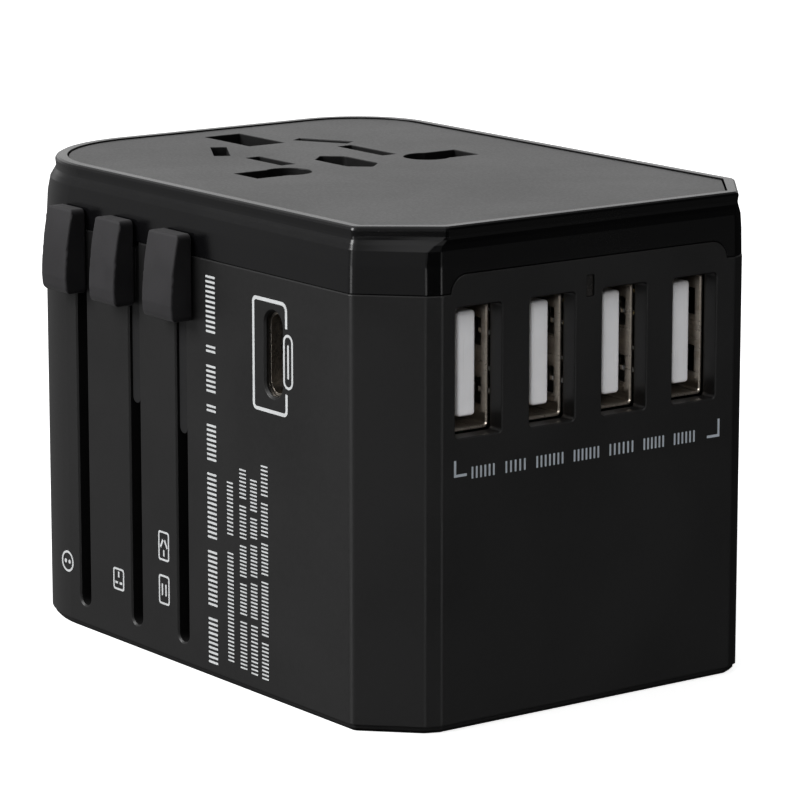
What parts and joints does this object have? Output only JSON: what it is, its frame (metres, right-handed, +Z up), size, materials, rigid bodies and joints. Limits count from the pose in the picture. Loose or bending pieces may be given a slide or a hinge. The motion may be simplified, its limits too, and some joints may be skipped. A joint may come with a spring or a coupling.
{
  "type": "universal travel adapter",
  "caption": "Block-shaped mains adapter with a multi-standard socket on top, sliding plugs in the base, a bank of USB-A ports and a USB-C port.",
  "frame": {"origin": "centre of the housing's base face", "axes": "+Z up through the socket face, +X out of the USB-A face, -Y out of the face with the three sliders"},
  "size_m": [0.074, 0.0558, 0.0525],
  "materials": {
    "shell_black": "satin, fine spark texture",
    "cap_black": "semi-gloss",
    "socket_face": "fine matt texture",
    "screw_steel": "zinc plated",
    "frame_grey": "moulded",
    "shutter_black": "moulded",
    "spring_steel": "bright drawn",
    "contact_brass": "stamped",
    "contact_gold": "gold flash",
    "carriage_grey": "moulded",
    "lever_rubber": "soft touch",
    "pin_nickel": "nickel plated",
    "sleeve_black": "moulded",
    "usb_metal": "nickel plated, stamped",
    "tongue_white": "moulded",
    "board_green": "solder mask",
    "coil_tape": "polyester tape",
    "ferrite": "sintered",
    "capacitor_sleeve": "printed sleeve, plain",
    "led_body": "moulded",
    "light_pipe": "smoky clear",
    "fuse_glass": "clear"
  },
  "bodies": {
    "housing": {"lower_shell": "shell_black", "top_cap": "cap_black", "socket_plate": "socket_face", "base_plate": "shell_black", "base_screws": "screw_steel", "inner_frame": "frame_grey", "contact_cover": "frame_grey", "shutter_spring": "spring_steel", "live_contact": "contact_brass", "neutral_contact": "contact_brass", "earth_contact": "contact_brass", "detent_springs": "spring_steel", "usb_port_shell_1": "usb_metal", "usb_port_shell_2": "usb_metal", "usb_port_shell_3": "usb_metal", "usb_port_shell_4": "usb_metal", "usb_tongue_1": "tongue_white", "usb_tongue_2": "tongue_white", "usb_tongue_3": "tongue_white", "usb_tongue_4": "tongue_white", "usb_contacts": "contact_gold", "type_c_shell": "usb_metal", "type_c_tongue": "sleeve_black", "type_c_board": "board_green", "usb_board": "board_green", "transformer": "coil_tape", "transformer_core": "ferrite", "capacitors": "capacitor_sleeve", "bridge_rectifier": "sleeve_black", "choke": "ferrite", "led": "led_body", "light_pipe": "light_pipe", "fuse": "fuse_glass", "fuse_caps": "pin_nickel", "fuse_clips": "contact_brass"},
    "shutter": {"socket_shutter": "shutter_black"},
    "eu_slider": {"eu_carriage": "carriage_grey", "eu_lever": "lever_rubber", "eu_pins": "pin_nickel", "eu_pin_sleeves": "sleeve_black"},
    "uk_slider": {"uk_carriage": "carriage_grey", "uk_lever": "lever_rubber", "uk_pins": "pin_nickel", "uk_earth_pin": "sleeve_black"},
    "us_slider": {"us_carriage": "carriage_grey", "us_lever": "lever_rubber"},
    "us_line": {"us_rotor_line": "carriage_grey", "us_blade_line": "pin_nickel"},
    "us_neutral": {"us_rotor_neutral": "carriage_grey", "us_blade_neutral": "pin_nickel"}
  },
  "joints": [
    {"name": "eu_slide", "type": "slide", "parent": "housing", "child": "eu_slider", "axis": [0, 0, -1], "range_m": [0, 0.022]},
    {"name": "uk_slide", "type": "slide", "parent": "housing", "child": "uk_slider", "axis": [0, 0, -1], "range_m": [0, 0.022]},
    {"name": "us_slide", "type": "slide", "parent": "housing", "child": "us_slider", "axis": [0, 0, -1], "range_m": [0, 0.022]},
    {"name": "us_line_turn", "type": "hinge", "parent": "us_slider", "child": "us_line", "pos_m": [-0.0001, -0.00635, 0.026], "axis": [0, 0, 1], "range_deg": [0, 30]},
    {"name": "us_neutral_turn", "type": "hinge", "parent": "us_slider", "child": "us_neutral", "pos_m": [-0.0001, 0.00635, 0.026], "axis": [0, 0, 1], "range_deg": [-30, 0]},
    {"name": "shutter_slide", "type": "slide", "parent": "housing", "child": "shutter", "axis": [1, 0, 0], "range_m": [0, 0.0056], "stiffness_N_per_m": 60, "springref_m": -0.003, "deforming": ["shutter_spring"]}
  ]
}
